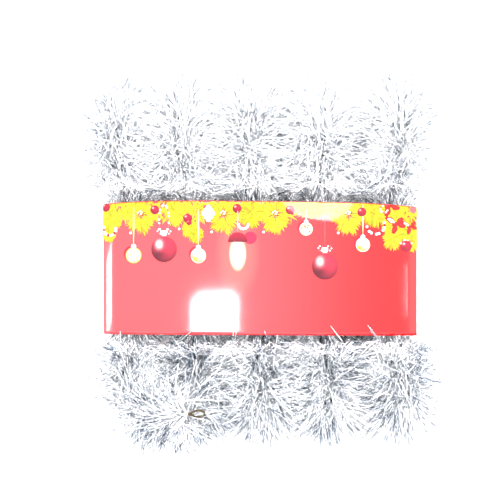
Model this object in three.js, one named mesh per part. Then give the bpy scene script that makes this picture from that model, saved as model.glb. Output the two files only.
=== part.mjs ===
// A tinsel garland wound into a flat hank and held by a printed card band.
// Millimetres, +Z up. The hank lies on its back: X across the band, Y along the runs and Z up
// through the thickness. The origin is under the middle of the hank, on the surface it lies on.
import * as THREE from 'three';

// ---- Driving dimensions ----
const hankHeight = 270;                      // along Y, over the outer turns of fringe
const hankDepth = 96;                        // along Z, two layers of garland
const upperWidths = [52, 46, 50, 55, 61];    // how far each front run spreads above the band
const lowerWidths = [60, 47, 47, 51, 55];    // and below it
const flareLength = 18;                      // in which the fringe springs out past the band
const wireDiameter = 2.2;                    // two strands twisted together
const eyeRadius = 3.7;                       // of the loop bent at each end of the wire
const eyeWireRadius = 0.9;
const eyeSlope = 27 * Math.PI / 180;         // how far round the first bottom turn the front eye lies
const eyeShift = -45;                        // where the front eye lies across the hank
const tuckedEndY = 5;                        // where the fringe of the last run ends, in the band
const bandWidth = 242;
const bandHeight = 98;
const bandDepth = 64;
const bandCentreY = -7;
const bandCorner = 16;
const cardThickness = 0.5;
const overlapWidth = 20;                     // where the card's two ends lie over each other
const jogLength = 4;                         // in which the outer end steps over the inner one
const glueThickness = 0.3;
const bandTravel = 8;                        // each way, before the band meets the sprung fringe

// ---- Clearances ----
const clearance = 0.3;                       // between neighbours that touch
const fitClearance = 0.5;                    // squeezed fringe to card
const eyeLift = 4;                           // front eye over the fringe that it lies on
const turnHollow = 3;                        // radius left at the middle of a turn

// ---- How finely the plain shapes are cut ----
const fringeSides = 16;
const turnSteps = 10;
const wireTurnSteps = 5;
const wireSides = 8;
const tailSteps = 5;
const cornerSteps = 5;
const fringeRoundness = 2.4;                 // power of the superellipse: 2 is an ellipse
const flatDepth = 2;                         // pressed flat where the fringe lies on a surface

// ---- Worked out from them ----
const runCount = upperWidths.length;
const front = 0;
const back = 1;
const sum = (values) => values.reduce((total, value) => total + value, 0);
const hankWidth = Math.max(sum(upperWidths), sum(lowerWidths));
const middleZ = hankDepth / 2;
const turnRadius = hankDepth / 4;
const turnY = hankHeight / 2 - hankDepth / 2;
const waistWidth = bandWidth - 2 * (cardThickness + fitClearance);
const waistDepth = bandDepth - 2 * (cardThickness + fitClearance);
const waistHalf = bandHeight / 2 + bandTravel + fitClearance;
const waistTop = bandCentreY + waistHalf;
const waistBottom = bandCentreY - waistHalf;
const wireCutIn = turnRadius * (1 - Math.cos(Math.PI / 2 / wireTurnSteps));
const boreApothem = wireDiameter / 2 + wireCutIn + clearance;
const boreRadius = boreApothem / Math.cos(Math.PI / wireSides);

const silver = new THREE.MeshStandardMaterial({ color: 0xd4dae2, roughness: 0.25, metalness: 0.9 });
const wireSteel = new THREE.MeshStandardMaterial({ color: 0xa9a08c, roughness: 0.4, metalness: 0.9 });
const redCard = new THREE.MeshStandardMaterial({ color: 0xe8383f, roughness: 0.2, metalness: 0 });
const clearGlue = new THREE.MeshStandardMaterial({ color: 0xe6e2d6, roughness: 0.35, metalness: 0 });

const garland = new THREE.Group();

function addPiece(name, geometry, material) {
  const mesh = new THREE.Mesh(geometry, material);
  mesh.name = name;
  garland.add(mesh);
  return mesh;
}

// ---- The cells that the runs of fringe share the hank between ----

function edgesOf(widths) {
  const edges = [-sum(widths) / 2];
  for (const width of widths) {
    edges.push(edges[edges.length - 1] + width);
  }
  return edges;
}

const upperEdges = edgesOf(upperWidths);
const lowerEdges = edgesOf(lowerWidths);

// 0 where the band may squeeze the fringe, 1 where the fringe has sprung out
function puff(y) {
  return THREE.MathUtils.smoothstep(Math.abs(y - bandCentreY), waistHalf, waistHalf + flareLength);
}

// The x of the line between two neighbouring runs. A back run leans across to the next front run.
function boundary(layer, index, y) {
  const lean = THREE.MathUtils.smoothstep(-y, -turnY, turnY);
  const below = Math.min(index + layer, runCount);
  const sprung = THREE.MathUtils.lerp(upperEdges[index], lowerEdges[below], lean);
  return sprung * THREE.MathUtils.lerp(waistWidth / hankWidth, 1, puff(y));
}

function middleX(layer, index, y) {
  return (boundary(layer, index, y) + boundary(layer, index + 1, y)) / 2;
}

function halfWidth(layer, index, y) {
  return (boundary(layer, index + 1, y) - boundary(layer, index, y) - clearance) / 2;
}

// The core wire's place at one of a run's stations, from which the fringe's bore is cut too
function corePoint(layer, index, y) {
  const spread = Math.abs(y) < turnY ? waistDepth / 4 : turnRadius;
  const z = layer === front ? middleZ + spread : middleZ - spread;
  return new THREE.Vector3(middleX(layer, index, y), y, z);
}

function coreStations(layer, low, high) {
  const inner = layer === front ? [waistBottom, waistTop] : [waistBottom, bandCentreY, waistTop];
  return [low, ...inner.filter((y) => y > low && y < high), high];
}

function coreAt(points, y) {
  let next = points.findIndex((point) => point.y >= y);
  next = Math.max(next, 1);
  const from = points[next - 1];
  const to = points[next];
  return from.clone().lerp(to, (y - from.y) / (to.y - from.y));
}

// Half the free depth inside the card at a place across the band, corners included
function freeHalfDepth(x) {
  const innerCorner = bandCorner - cardThickness;
  const flat = bandWidth / 2 - bandCorner;
  const past = Math.min(Math.max(Math.abs(x) - flat, 0), innerCorner);
  const straight = bandDepth / 2 - bandCorner;
  return straight + Math.sqrt(innerCorner ** 2 - past ** 2) - fitClearance;
}

// ---- Fringe ----

function rounded(value) {
  return Math.sign(value) * Math.abs(value) ** (2 / fringeRoundness);
}

// A straight run: a turned sleeve round the wire, pressed into its cell
function fringeRun(layer, index, low, high) {
  const corePoints = coreStations(layer, -turnY, turnY).map((y) => corePoint(layer, index, y));
  const flares = [flareLength, flareLength / 2, 0];
  const skinY = [
    low,
    ...flares.map((step) => waistBottom - step),
    bandCentreY,
    tuckedEndY,
    ...flares.map((step) => waistTop + step).reverse(),
    high,
  ].filter((y) => y >= low && y <= high);
  const boreY = coreStations(layer, low, high).reverse();
  const skinMark = 1;
  const boreMark = 0.5;
  const profile = [
    ...[...new Set(skinY)].sort((a, b) => a - b).map((y) => new THREE.Vector2(skinMark, y)),
    ...boreY.map((y) => new THREE.Vector2(boreMark, y)),
  ];
  profile.push(profile[0].clone());
  const geometry = new THREE.LatheGeometry(profile, fringeSides);
  const position = geometry.attributes.position;
  const side = layer === front ? 1 : -1;
  for (let i = 0; i < position.count; i++) {
    const y = position.getY(i);
    const radius = Math.hypot(position.getX(i), position.getZ(i));
    const across = position.getX(i) / radius;
    const up = position.getZ(i) / radius;
    if (radius < (skinMark + boreMark) / 2) {
      const core = coreAt(corePoints, y);
      position.setXYZ(i, core.x + boreRadius * across, y, core.z + boreRadius * up);
      continue;
    }
    const x = middleX(layer, index, y) + halfWidth(layer, index, y) * rounded(across);
    const sprungHalf = hankDepth / 2 + flatDepth;
    const reach = THREE.MathUtils.lerp(waistDepth / 2, sprungHalf, puff(y));
    const half = (reach - clearance / 2) / 2;
    const free = puff(y) > 0 ? hankDepth / 2 : freeHalfDepth(x);
    const offset = Math.min(clearance / 2 + half + side * half * rounded(up), free);
    position.setXYZ(i, x, y, middleZ + side * offset);
  }
  return geometry;
}

// The wire's way round the end of the hank, from the front layer to the back one
class TurnCurve extends THREE.Curve {
  constructor(x, end) {
    super();
    this.x = x;
    this.end = end;
  }

  getPoint(t) {
    const angle = Math.PI * t;
    const y = this.end * (turnY + turnRadius * Math.sin(angle));
    return new THREE.Vector3(this.x, y, middleZ + turnRadius * Math.cos(angle));
  }
}

// A turn: the section of a run swept round the half circle. The sweep's frame carries the
// section's second axis outwards on a top turn and inwards on a bottom one.
function fringeTurn(index, end) {
  const half = halfWidth(front, index, end * turnY);
  const section = new THREE.Shape();
  for (let i = 0; i < fringeSides; i++) {
    const angle = end * 2 * Math.PI * i / fringeSides;
    const depth = Math.sin(angle) < 0 ? turnRadius - turnHollow : turnRadius;
    const across = half * rounded(Math.cos(angle));
    const outwards = depth * rounded(Math.sin(angle));
    if (i === 0) {
      section.moveTo(across, end * outwards);
    } else {
      section.lineTo(across, end * outwards);
    }
  }
  const bore = new THREE.Path();
  bore.absarc(0, 0, boreRadius, 0, 2 * Math.PI, true);
  section.holes.push(bore);
  return new THREE.ExtrudeGeometry(section, {
    steps: turnSteps,
    curveSegments: wireSides / 2,
    extrudePath: new TurnCurve(middleX(front, index, end * turnY), end),
  });
}

// ---- Core wire, one length from the front eye to the tucked eye ----

const eyeReach = eyeRadius + eyeWireRadius + clearance;

function frontEyeCentre() {
  const radius = hankDepth / 2 + eyeLift;
  const y = -turnY - radius * Math.sin(eyeSlope);
  return new THREE.Vector3(eyeShift, y, middleZ + radius * Math.cos(eyeSlope));
}

// From the front eye, over the shoulder of the first bottom turn, up into the first run
function tailPoints() {
  const start = frontEyeCentre().add(new THREE.Vector3(-eyeReach, 0, 0));
  const end = corePoint(front, 0, -turnY);
  const overShoulder = start.clone().add(new THREE.Vector3(-turnRadius, -5, 1));
  const belowRun = end.clone().add(new THREE.Vector3(0, -turnRadius, 4));
  const tail = new THREE.CubicBezierCurve3(start, overShoulder, belowRun, end);
  return tail.getPoints(tailSteps).slice(0, -1);
}

function turnPoints(index, end) {
  const curve = new TurnCurve(middleX(front, index, end * turnY), end);
  return curve.getPoints(wireTurnSteps).slice(1, -1);
}

function wirePoints() {
  const points = tailPoints();
  for (let index = 0; index < runCount; index++) {
    const up = coreStations(front, -turnY, turnY).map((y) => corePoint(front, index, y));
    points.push(...up, ...turnPoints(index, 1));
    const last = index === runCount - 1;
    const low = last ? tuckedEndY - wireDiameter : -turnY;
    const down = coreStations(back, low, turnY).map((y) => corePoint(back, index, y));
    points.push(...down.reverse());
    if (!last) {
      points.push(...turnPoints(index + 1, -1).reverse());
    }
  }
  return points;
}

// Steps fall on the points themselves: close together in the turns, far apart in the runs
class WireCurve extends THREE.CatmullRomCurve3 {
  getUtoTmapping(u) {
    return u;
  }
}

function coreWire() {
  const points = wirePoints();
  const section = new THREE.Shape();
  section.absarc(0, 0, wireDiameter / 2, 0, 2 * Math.PI, false);
  return new THREE.ExtrudeGeometry(section, {
    steps: points.length - 1,
    curveSegments: wireSides / 2,
    extrudePath: new WireCurve(points, false, 'centripetal'),
  });
}

function wireEye() {
  return new THREE.TorusGeometry(eyeRadius, eyeWireRadius, wireSides, 2 * wireSides);
}

// ---- Card band: one strip folded round the hank, its ends lapped and glued at the back ----

const halfBand = bandWidth / 2;
const halfBandDepth = bandDepth / 2;
const flapStep = cardThickness + glueThickness + 2 * clearance;

function bandOutline() {
  const edge = halfBand - bandCorner;
  const rise = halfBandDepth - bandCorner;
  const lap = overlapWidth / 2;
  const quarter = Math.PI / 2;
  const innerCorner = bandCorner - cardThickness;
  const innerBack = -halfBandDepth + cardThickness;
  const shape = new THREE.Shape();
  shape.moveTo(lap, -halfBandDepth);
  shape.absarc(-edge, -rise, bandCorner, -quarter, -2 * quarter, true);
  shape.absarc(-edge, rise, bandCorner, 2 * quarter, quarter, true);
  shape.absarc(edge, rise, bandCorner, quarter, 0, true);
  shape.absarc(edge, -rise, bandCorner, 0, -quarter, true);
  shape.lineTo(lap + jogLength, -halfBandDepth);
  shape.lineTo(lap + fitClearance, -halfBandDepth - flapStep);
  shape.lineTo(-lap, -halfBandDepth - flapStep);
  shape.lineTo(-lap, innerBack - flapStep);
  shape.lineTo(lap + fitClearance, innerBack - flapStep);
  shape.lineTo(lap + jogLength, innerBack);
  shape.absarc(edge, -rise, innerCorner, -quarter, 0, false);
  shape.absarc(edge, rise, innerCorner, 0, quarter, false);
  shape.absarc(-edge, rise, innerCorner, quarter, 2 * quarter, false);
  shape.absarc(-edge, -rise, innerCorner, -2 * quarter, -quarter, false);
  shape.lineTo(lap, innerBack);
  return shape;
}

function bandSleeve() {
  const settings = { depth: bandHeight, bevelEnabled: false, curveSegments: cornerSteps };
  const geometry = new THREE.ExtrudeGeometry(bandOutline(), settings);
  geometry.rotateX(Math.PI / 2);
  geometry.translate(0, bandCentreY + bandHeight / 2, middleZ);
  return geometry;
}

function glueStrip() {
  const inset = 2;
  const geometry = new THREE.BoxGeometry(overlapWidth - inset, bandHeight - inset, glueThickness);
  const z = middleZ - halfBandDepth - clearance - glueThickness / 2;
  geometry.translate(0, bandCentreY, z);
  return geometry;
}

// ---- Assembly ----

const runEnd = turnY - clearance;
for (let index = 0; index < runCount; index++) {
  const number = index + 1;
  const last = index === runCount - 1;
  const backLow = last ? tuckedEndY : -runEnd;
  addPiece(`fringe_front_run_${number}`, fringeRun(front, index, -runEnd, runEnd), silver);
  addPiece(`fringe_top_turn_${number}`, fringeTurn(index, 1), silver);
  addPiece(`fringe_back_run_${number}`, fringeRun(back, index, backLow, runEnd), silver);
  if (!last) {
    addPiece(`fringe_bottom_turn_${number}`, fringeTurn(index + 1, -1), silver);
  }
}

addPiece('core_wire', coreWire(), wireSteel);
const frontEye = addPiece('wire_eye_front', wireEye(), wireSteel);
frontEye.position.copy(frontEyeCentre());
frontEye.rotation.x = eyeSlope;
const tuckedEye = addPiece('wire_eye_tucked', wireEye(), wireSteel);
tuckedEye.position.copy(corePoint(back, runCount - 1, tuckedEndY));
tuckedEye.position.y -= wireDiameter + eyeReach;

addPiece('band_sleeve', bandSleeve(), redCard);
addPiece('band_glue_strip', glueStrip(), clearGlue);

export default garland;
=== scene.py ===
import math

import bmesh
import bpy
import numpy as np
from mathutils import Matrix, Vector


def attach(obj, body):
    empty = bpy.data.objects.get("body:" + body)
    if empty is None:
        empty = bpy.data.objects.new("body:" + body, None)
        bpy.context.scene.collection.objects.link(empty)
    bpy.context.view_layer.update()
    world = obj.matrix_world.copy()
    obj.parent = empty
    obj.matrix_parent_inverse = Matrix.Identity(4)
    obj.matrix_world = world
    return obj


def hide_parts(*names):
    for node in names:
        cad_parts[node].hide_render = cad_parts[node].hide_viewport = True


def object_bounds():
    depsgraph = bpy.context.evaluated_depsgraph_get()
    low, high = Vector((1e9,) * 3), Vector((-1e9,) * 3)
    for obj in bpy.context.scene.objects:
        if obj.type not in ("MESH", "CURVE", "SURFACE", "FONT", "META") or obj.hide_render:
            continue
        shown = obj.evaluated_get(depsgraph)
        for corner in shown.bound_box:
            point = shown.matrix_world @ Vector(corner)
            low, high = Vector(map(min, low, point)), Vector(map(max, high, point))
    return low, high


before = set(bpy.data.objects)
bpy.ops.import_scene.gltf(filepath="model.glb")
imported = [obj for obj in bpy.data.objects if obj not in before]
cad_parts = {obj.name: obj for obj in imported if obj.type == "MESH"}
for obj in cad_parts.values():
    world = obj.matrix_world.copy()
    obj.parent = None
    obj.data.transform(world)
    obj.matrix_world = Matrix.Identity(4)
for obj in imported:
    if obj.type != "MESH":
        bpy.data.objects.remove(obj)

bl_info = {
    "name": "Tinsel Garland Hank",
    "version": (1, 0, 0),
    "blender": (4, 5, 0),
    "location": "View3D > Sidebar > Garland",
    "description": "A silver tinsel garland wound into a flat hank and held by a printed card band",
    "category": "Object",
}

MM = 0.001
CAD_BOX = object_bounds()

# ---- The hank, with the sizes of its CAD model ----
HANK_HEIGHT = 270 * MM
HANK_DEPTH = 96 * MM
UPPER_WIDTHS = np.array([52, 46, 50, 55, 61]) * MM
LOWER_WIDTHS = np.array([60, 47, 47, 51, 55]) * MM
FLARE_LENGTH = 18 * MM
WIRE_DIAMETER = 2.2 * MM
EYE_RADIUS = 3.7 * MM
EYE_WIRE_RADIUS = 0.9 * MM
EYE_SLOPE = math.radians(27)
EYE_SHIFT = -45 * MM
EYE_LIFT = 4 * MM
TAIL_SAG = 5 * MM
TAIL_LIFT = 1 * MM
TAIL_RISE = 4 * MM
TUCKED_END_Y = 5 * MM
BAND_WIDTH = 242 * MM
BAND_HEIGHT = 98 * MM
BAND_DEPTH = 64 * MM
BAND_Y = -7 * MM
BAND_CORNER = 16 * MM
BAND_TRAVEL = 8 * MM
CARD_THICKNESS = 0.5 * MM
OVERLAP_WIDTH = 20 * MM
JOG_LENGTH = 4 * MM
GLUE_THICKNESS = 0.3 * MM
CLEARANCE = 0.3 * MM
FIT_CLEARANCE = 0.5 * MM

RUN_COUNT = len(UPPER_WIDTHS)
FRONT, BACK = 0, 1
HANK_WIDTH = max(UPPER_WIDTHS.sum(), LOWER_WIDTHS.sum())
MIDDLE_Z = HANK_DEPTH / 2
TURN_RADIUS = HANK_DEPTH / 4
TURN_Y = HANK_HEIGHT / 2 - HANK_DEPTH / 2
WAIST_WIDTH = BAND_WIDTH - 2 * (CARD_THICKNESS + FIT_CLEARANCE)
WAIST_DEPTH = BAND_DEPTH - 2 * (CARD_THICKNESS + FIT_CLEARANCE)
WAIST_HALF = BAND_HEIGHT / 2 + BAND_TRAVEL + FIT_CLEARANCE


# ---------------------------------------------------------------- the wire's route

def smoothstep(value, low, high):
    share = np.clip((value - low) / (high - low), 0, 1)
    return share * share * (3 - 2 * share)


def puff(y):
    """0 where the band may squeeze the fringe, 1 where the fringe has sprung out."""
    return smoothstep(np.abs(y - BAND_Y), WAIST_HALF, WAIST_HALF + FLARE_LENGTH)


def edges_of(widths):
    return np.concatenate([[0], np.cumsum(widths)]) - widths.sum() / 2


UPPER_EDGES = edges_of(UPPER_WIDTHS)
LOWER_EDGES = edges_of(LOWER_WIDTHS)


def boundary(layer, index, y):
    """The x of the line between two neighbouring runs. A back run leans to the next front run."""
    lean = smoothstep(-y, -TURN_Y, TURN_Y)
    below = LOWER_EDGES[min(index + layer, RUN_COUNT)]
    sprung = UPPER_EDGES[index] * (1 - lean) + below * lean
    squeeze = WAIST_WIDTH / HANK_WIDTH
    return sprung * (squeeze + (1 - squeeze) * puff(y))


def middle_x(layer, index, y):
    return (boundary(layer, index, y) + boundary(layer, index + 1, y)) / 2


def core_z(layer, y):
    waist = WAIST_DEPTH / 4
    past = smoothstep(np.abs(y - BAND_Y), WAIST_HALF, TURN_Y - abs(BAND_Y))
    spread = waist + (TURN_RADIUS - waist) * past
    return MIDDLE_Z + spread if layer == FRONT else MIDDLE_Z - spread


def run_points(layer, index, start, end, count=48):
    y = np.linspace(start, end, count)
    return np.column_stack([middle_x(layer, index, y), y, core_z(layer, y)])


def turn_points(index, end, count=26):
    angle = np.linspace(0, math.pi, count)
    x = np.full(count, float(middle_x(FRONT, index, end * TURN_Y)))
    y = end * (TURN_Y + TURN_RADIUS * np.sin(angle))
    return np.column_stack([x, y, MIDDLE_Z + TURN_RADIUS * np.cos(angle)])


EYE_REACH = EYE_RADIUS + EYE_WIRE_RADIUS + CLEARANCE


def front_eye_centre():
    radius = HANK_DEPTH / 2 + EYE_LIFT
    y = -TURN_Y - radius * math.sin(EYE_SLOPE)
    return np.array([EYE_SHIFT, y, MIDDLE_Z + radius * math.cos(EYE_SLOPE)])


def tucked_eye_centre():
    y = TUCKED_END_Y
    x = float(middle_x(BACK, RUN_COUNT - 1, y))
    return np.array([x, y - WIRE_DIAMETER - EYE_REACH, float(core_z(BACK, y))])


def tail_points(count=24):
    """From the front eye, over the shoulder of the first bottom turn, up into the first run."""
    start = front_eye_centre() - [EYE_REACH, 0, 0]
    end = run_points(FRONT, 0, -TURN_Y, 0)[0]
    shoulder = start + [-TURN_RADIUS, -TAIL_SAG, TAIL_LIFT]
    below = end + [0, -TURN_RADIUS, TAIL_RISE]
    t = np.linspace(0, 1, count)[:, None]
    u = 1 - t
    return u**3 * start + 3 * u * u * t * shoulder + 3 * u * t * t * below + t**3 * end


def stretches():
    """The fringe's CAD nodes in the order that the garland is wound, each with its wire's line."""
    found = []
    for index in range(RUN_COUNT):
        number = index + 1
        up = run_points(FRONT, index, -TURN_Y, TURN_Y)
        if index == 0:
            up = np.vstack([tail_points()[:-1], up])
        found.append((f"fringe_front_run_{number}", up))
        found.append((f"fringe_top_turn_{number}", turn_points(index, 1)))
        last = index == RUN_COUNT - 1
        low = TUCKED_END_Y - WIRE_DIAMETER if last else -TURN_Y
        found.append((f"fringe_back_run_{number}", run_points(BACK, index, TURN_Y, low)))
        if not last:
            under = turn_points(index + 1, -1)[::-1]
            found.append((f"fringe_bottom_turn_{number}", under))
    return found


def wire_route():
    """One line through every stretch, without the points that two stretches share."""
    lines = [line for _, line in stretches()]
    return np.vstack([lines[0]] + [line[1:] for line in lines[1:]])


def line_length(points):
    return float(np.linalg.norm(np.diff(points, axis=0), axis=1).sum())


def along(points, distance):
    """Places and directions at distances along a line."""
    steps = np.linalg.norm(np.diff(points, axis=0), axis=1)
    marks = np.concatenate([[0], np.cumsum(steps)])
    slope = np.gradient(points, marks, axis=0)
    place = np.column_stack([np.interp(distance, marks, points[:, k]) for k in range(3)])
    direction = np.column_stack([np.interp(distance, marks, slope[:, k]) for k in range(3)])
    return place, unit(direction)


def unit(vectors):
    return vectors / np.maximum(np.linalg.norm(vectors, axis=-1, keepdims=True), 1e-12)


# ---------------------------------------------------------------- meshes

def new_object(name, mesh):
    piece = bpy.data.objects.new(name, mesh)
    bpy.context.scene.collection.objects.link(piece)
    return piece


def finish_mesh(name, bm, smooth=True):
    mesh = bpy.data.meshes.new(name)
    bm.to_mesh(mesh)
    bm.free()
    if smooth:
        mesh.shade_smooth()
    return new_object(name, mesh)


class Template:
    """A small closed shape made once with bmesh, and copied many times into one mesh."""

    def __init__(self, bm):
        bm.verts.index_update()
        self.points = np.array([vert.co for vert in bm.verts])
        self.faces = [[vert.index for vert in face.verts] for face in bm.faces]
        self.corners = np.array([corner for face in self.faces for corner in face])
        self.sizes = np.array([len(face) for face in self.faces])
        bm.free()


def mesh_of_copies(name, parts):
    """parts are pairs of a template and the points of its copies, as an array of n x m x 3."""
    points, corners, sizes = [], [], []
    base = 0
    for template, places in parts:
        copies, each = places.shape[0], places.shape[1]
        shift = base + np.arange(copies)[:, None] * each
        points.append(places.reshape(-1, 3))
        corners.append((template.corners[None, :] + shift).ravel())
        sizes.append(np.tile(template.sizes, copies))
        base += copies * each
    points = np.concatenate(points)
    corners = np.concatenate(corners)
    sizes = np.concatenate(sizes)
    mesh = bpy.data.meshes.new(name)
    mesh.vertices.add(len(points))
    mesh.vertices.foreach_set("co", points.astype(np.float32).ravel())
    mesh.loops.add(len(corners))
    mesh.loops.foreach_set("vertex_index", corners.astype(np.int32))
    mesh.polygons.add(len(sizes))
    starts = np.concatenate([[0], np.cumsum(sizes)[:-1]])
    mesh.polygons.foreach_set("loop_start", starts.astype(np.int32))
    mesh.update(calc_edges=True)
    return new_object(name, mesh)


# ---------------------------------------------------------------- materials

def new_material(name):
    material = bpy.data.materials.new(name)
    material.use_nodes = True
    tree = material.node_tree
    shader = tree.nodes["Principled BSDF"]
    return material, tree, shader


def node(tree, kind, **settings):
    made = tree.nodes.new(kind)
    for key, value in settings.items():
        setattr(made, key, value)
    return made


def math_node(tree, operation, first, second=None, third=None):
    made = node(tree, "ShaderNodeMath", operation=operation)
    for socket, value in zip(made.inputs, (first, second, third)):
        if value is None:
            continue
        if isinstance(value, (int, float)):
            socket.default_value = value
        else:
            tree.links.new(value, socket)
    return made.outputs[0]


def mix_socket(made, name):
    """The colour sockets of a Mix node share their names with the number ones."""
    return [socket for socket in made.inputs if socket.name == name and socket.type == "RGBA"][0]


def mix_rgb(tree, share, first, second):
    made = node(tree, "ShaderNodeMix", data_type="RGBA")
    tree.links.new(share, made.inputs[0])
    for name, value in (("A", first), ("B", second)):
        socket = mix_socket(made, name)
        if isinstance(value, tuple):
            socket.default_value = (*value, 1)
        else:
            tree.links.new(value, socket)
    return [socket for socket in made.outputs if socket.type == "RGBA"][0]


def noise(tree, scale, detail=2):
    """Random spots that stay with the object."""
    place = node(tree, "ShaderNodeTexCoord")
    made = node(tree, "ShaderNodeTexNoise")
    made.inputs["Scale"].default_value = scale
    made.inputs["Detail"].default_value = detail
    tree.links.new(place.outputs["Object"], made.inputs["Vector"])
    return made.outputs["Fac"]


def bump(tree, shader, height, strength, distance):
    made = node(tree, "ShaderNodeBump")
    made.inputs["Strength"].default_value = strength
    made.inputs["Distance"].default_value = distance
    tree.links.new(height, made.inputs["Height"])
    tree.links.new(made.outputs["Normal"], shader.inputs["Normal"])


def map_range(tree, value, taken, given=(0, 1), kind="LINEAR"):
    made = node(tree, "ShaderNodeMapRange", interpolation_type=kind)
    for name, number in zip(("From Min", "From Max", "To Min", "To Max"), (*taken, *given)):
        made.inputs[name].default_value = number
    tree.links.new(value, made.inputs["Value"])
    return made.outputs["Result"]


# Painted reflection and shade on the film: the base colour runs from painted dark blue slate, through a
# painted half dark, to the film's own light silver
FILM_PAINTED_DARK = (0.022, 0.038, 0.068)
FILM_PAINTED_HALF_DARK = (0.14, 0.185, 0.255)
FILM_LIGHT = (0.97, 0.98, 1.0)


def film_material():
    """Metallised film with painted reflection and shade in its base colour: most strips are painted light,
    some are painted blue slate as a reflection of the dark room.
    """
    material, tree, shader = new_material("tinsel_film")
    # painted light: each face's attribute picks its painted dark, painted half dark or light base colour
    painted_light = node(tree, "ShaderNodeAttribute", attribute_name="painted_light")
    ramp = node(tree, "ShaderNodeValToRGB")
    ramp.color_ramp.elements[0].color = (*FILM_PAINTED_DARK, 1)
    ramp.color_ramp.elements[1].position = 1.0
    ramp.color_ramp.elements[1].color = (*FILM_LIGHT, 1)
    middle = ramp.color_ramp.elements.new(0.5)
    middle.color = (*FILM_PAINTED_HALF_DARK, 1)
    tree.links.new(painted_light.outputs["Fac"], ramp.inputs["Fac"])
    tree.links.new(ramp.outputs["Color"], shader.inputs["Base Color"])
    crinkle = noise(tree, 420)
    rough = map_range(tree, crinkle, (0, 1), (0.16, 0.34))
    tree.links.new(rough, shader.inputs["Roughness"])
    bump(tree, shader, crinkle, 0.35, 0.4 * MM)
    shader.inputs["Metallic"].default_value = 0.8
    return material


WIRE_GOLD = (0.115, 0.080, 0.032)
WIRE_BROWN = (0.020, 0.016, 0.012)


def wire_material():
    """Lacquered steel wire, gone brown and gold in places."""
    material, tree, shader = new_material("core_wire")
    stain = noise(tree, 260, 4)
    tree.links.new(mix_rgb(tree, stain, WIRE_GOLD, WIRE_BROWN), shader.inputs["Base Color"])
    bump(tree, shader, stain, 0.4, 0.2 * MM)
    shader.inputs["Metallic"].default_value = 0.85
    shader.inputs["Roughness"].default_value = 0.32
    return material


PANEL_HALF = 113 * MM
PANEL_X = -1 * MM
LAMP_X = -17 * MM
LAMP_Y = 2.5 * MM
BEAM_HALF_WIDTH = 6 * MM
BEAM_HALF_HEIGHT = 12 * MM
# printed red, made paler at the left by a painted sheen
RED_LEFT_PAINTED_SHEEN = (0.50, 0.026, 0.031)
RED_RIGHT = (0.50, 0.0, 0.001)
RED_GRAIN = (0.40, 0.02, 0.03)
HALO = (0.52, 0.20, 0.14)
BEAM = (0.50, 0.44, 0.26)
CARD_PALE = (0.93, 0.93, 0.92)
CARD_GREY = (0.86, 0.86, 0.85)
GLOSS_ROUGHNESS = 0.06
PRINT_GLOSS = 0.65


def card_material():
    """Coated card: a red printed front with a soft lamp glow, and bare white sides and back."""
    material, tree, shader = new_material("band_card")
    place = node(tree, "ShaderNodeTexCoord")
    split = node(tree, "ShaderNodeSeparateXYZ")
    tree.links.new(place.outputs["Object"], split.inputs[0])
    x, y, z = split.outputs
    # printed red ground with a painted sheen: paler across the left and middle than at the right, as a
    # painted reflection on the gloss
    across = map_range(tree, x, (-30 * MM, 100 * MM), kind="SMOOTHSTEP")
    ground = mix_rgb(tree, across, RED_LEFT_PAINTED_SHEEN, RED_RIGHT)
    # the lamp's beam: a soft ellipse under the dome, warm at its rim and white inside
    dx = math_node(tree, "DIVIDE", math_node(tree, "SUBTRACT", x, LAMP_X), BEAM_HALF_WIDTH)
    dy = math_node(tree, "DIVIDE", math_node(tree, "SUBTRACT", y, LAMP_Y), BEAM_HALF_HEIGHT)
    round_ = math_node(tree, "ADD", math_node(tree, "POWER", dx, 2), math_node(tree, "POWER", dy, 2))
    glow = map_range(tree, round_, (1.25, 0.3), kind="SMOOTHSTEP")
    halo = map_range(tree, round_, (9.0, 0.5), (0, 0.14), kind="SMOOTHSTEP")
    ground = mix_rgb(tree, halo, ground, HALO)
    lit = mix_rgb(tree, glow, ground, BEAM)
    # fine mottle of the ink
    mottle = math_node(tree, "MULTIPLY", noise(tree, 900), 0.08)
    ink = mix_rgb(tree, mottle, lit, RED_GRAIN)
    # the printed panel covers the front between its two margins
    from_middle = math_node(tree, "ABSOLUTE", math_node(tree, "SUBTRACT", x, PANEL_X))
    inside = math_node(tree, "LESS_THAN", from_middle, PANEL_HALF)
    in_front = math_node(tree, "GREATER_THAN", z, MIDDLE_Z + 8 * MM)
    panel = math_node(tree, "MULTIPLY", inside, in_front)
    fibre = noise(tree, 160, 6)
    bare = mix_rgb(tree, fibre, CARD_PALE, CARD_GREY)
    tree.links.new(mix_rgb(tree, panel, bare, ink), shader.inputs["Base Color"])
    rough = math_node(tree, "MULTIPLY_ADD", fibre, 0.12, 0.42)
    tree.links.new(rough, shader.inputs["Roughness"])
    shader.inputs["Specular IOR Level"].default_value = 0.05
    bump(tree, shader, fibre, 0.06, 0.3 * MM)
    shader.inputs["Coat Weight"].default_value = 1.0
    shader.inputs["Coat Roughness"].default_value = GLOSS_ROUGHNESS
    return material


def ink_material(settings):
    """Printed inks under the card's gloss: each drawn shape carries its own colours."""
    material, tree, shader = new_material("band_inks")
    ink = node(tree, "ShaderNodeAttribute", attribute_name="ink")
    place = node(tree, "ShaderNodeTexCoord")
    shade = node(tree, "ShaderNodeVectorMath", operation="SCALE")
    tree.links.new(ink.outputs["Color"], shade.inputs[0])
    strength = math_node(tree, "MULTIPLY_ADD", noise(tree, 700), 0.3, 0.85)
    tree.links.new(strength, shade.inputs["Scale"])
    tree.links.new(shade.outputs[0], shader.inputs["Base Color"])
    shader.inputs["Roughness"].default_value = 0.5
    shader.inputs["Specular IOR Level"].default_value = 0.05
    shader.inputs["Coat Weight"].default_value = PRINT_GLOSS
    shader.inputs["Coat Roughness"].default_value = GLOSS_ROUGHNESS
    tree.links.new(face_normal(tree, place.outputs["Object"], settings), shader.inputs["Coat Normal"])
    return material


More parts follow.
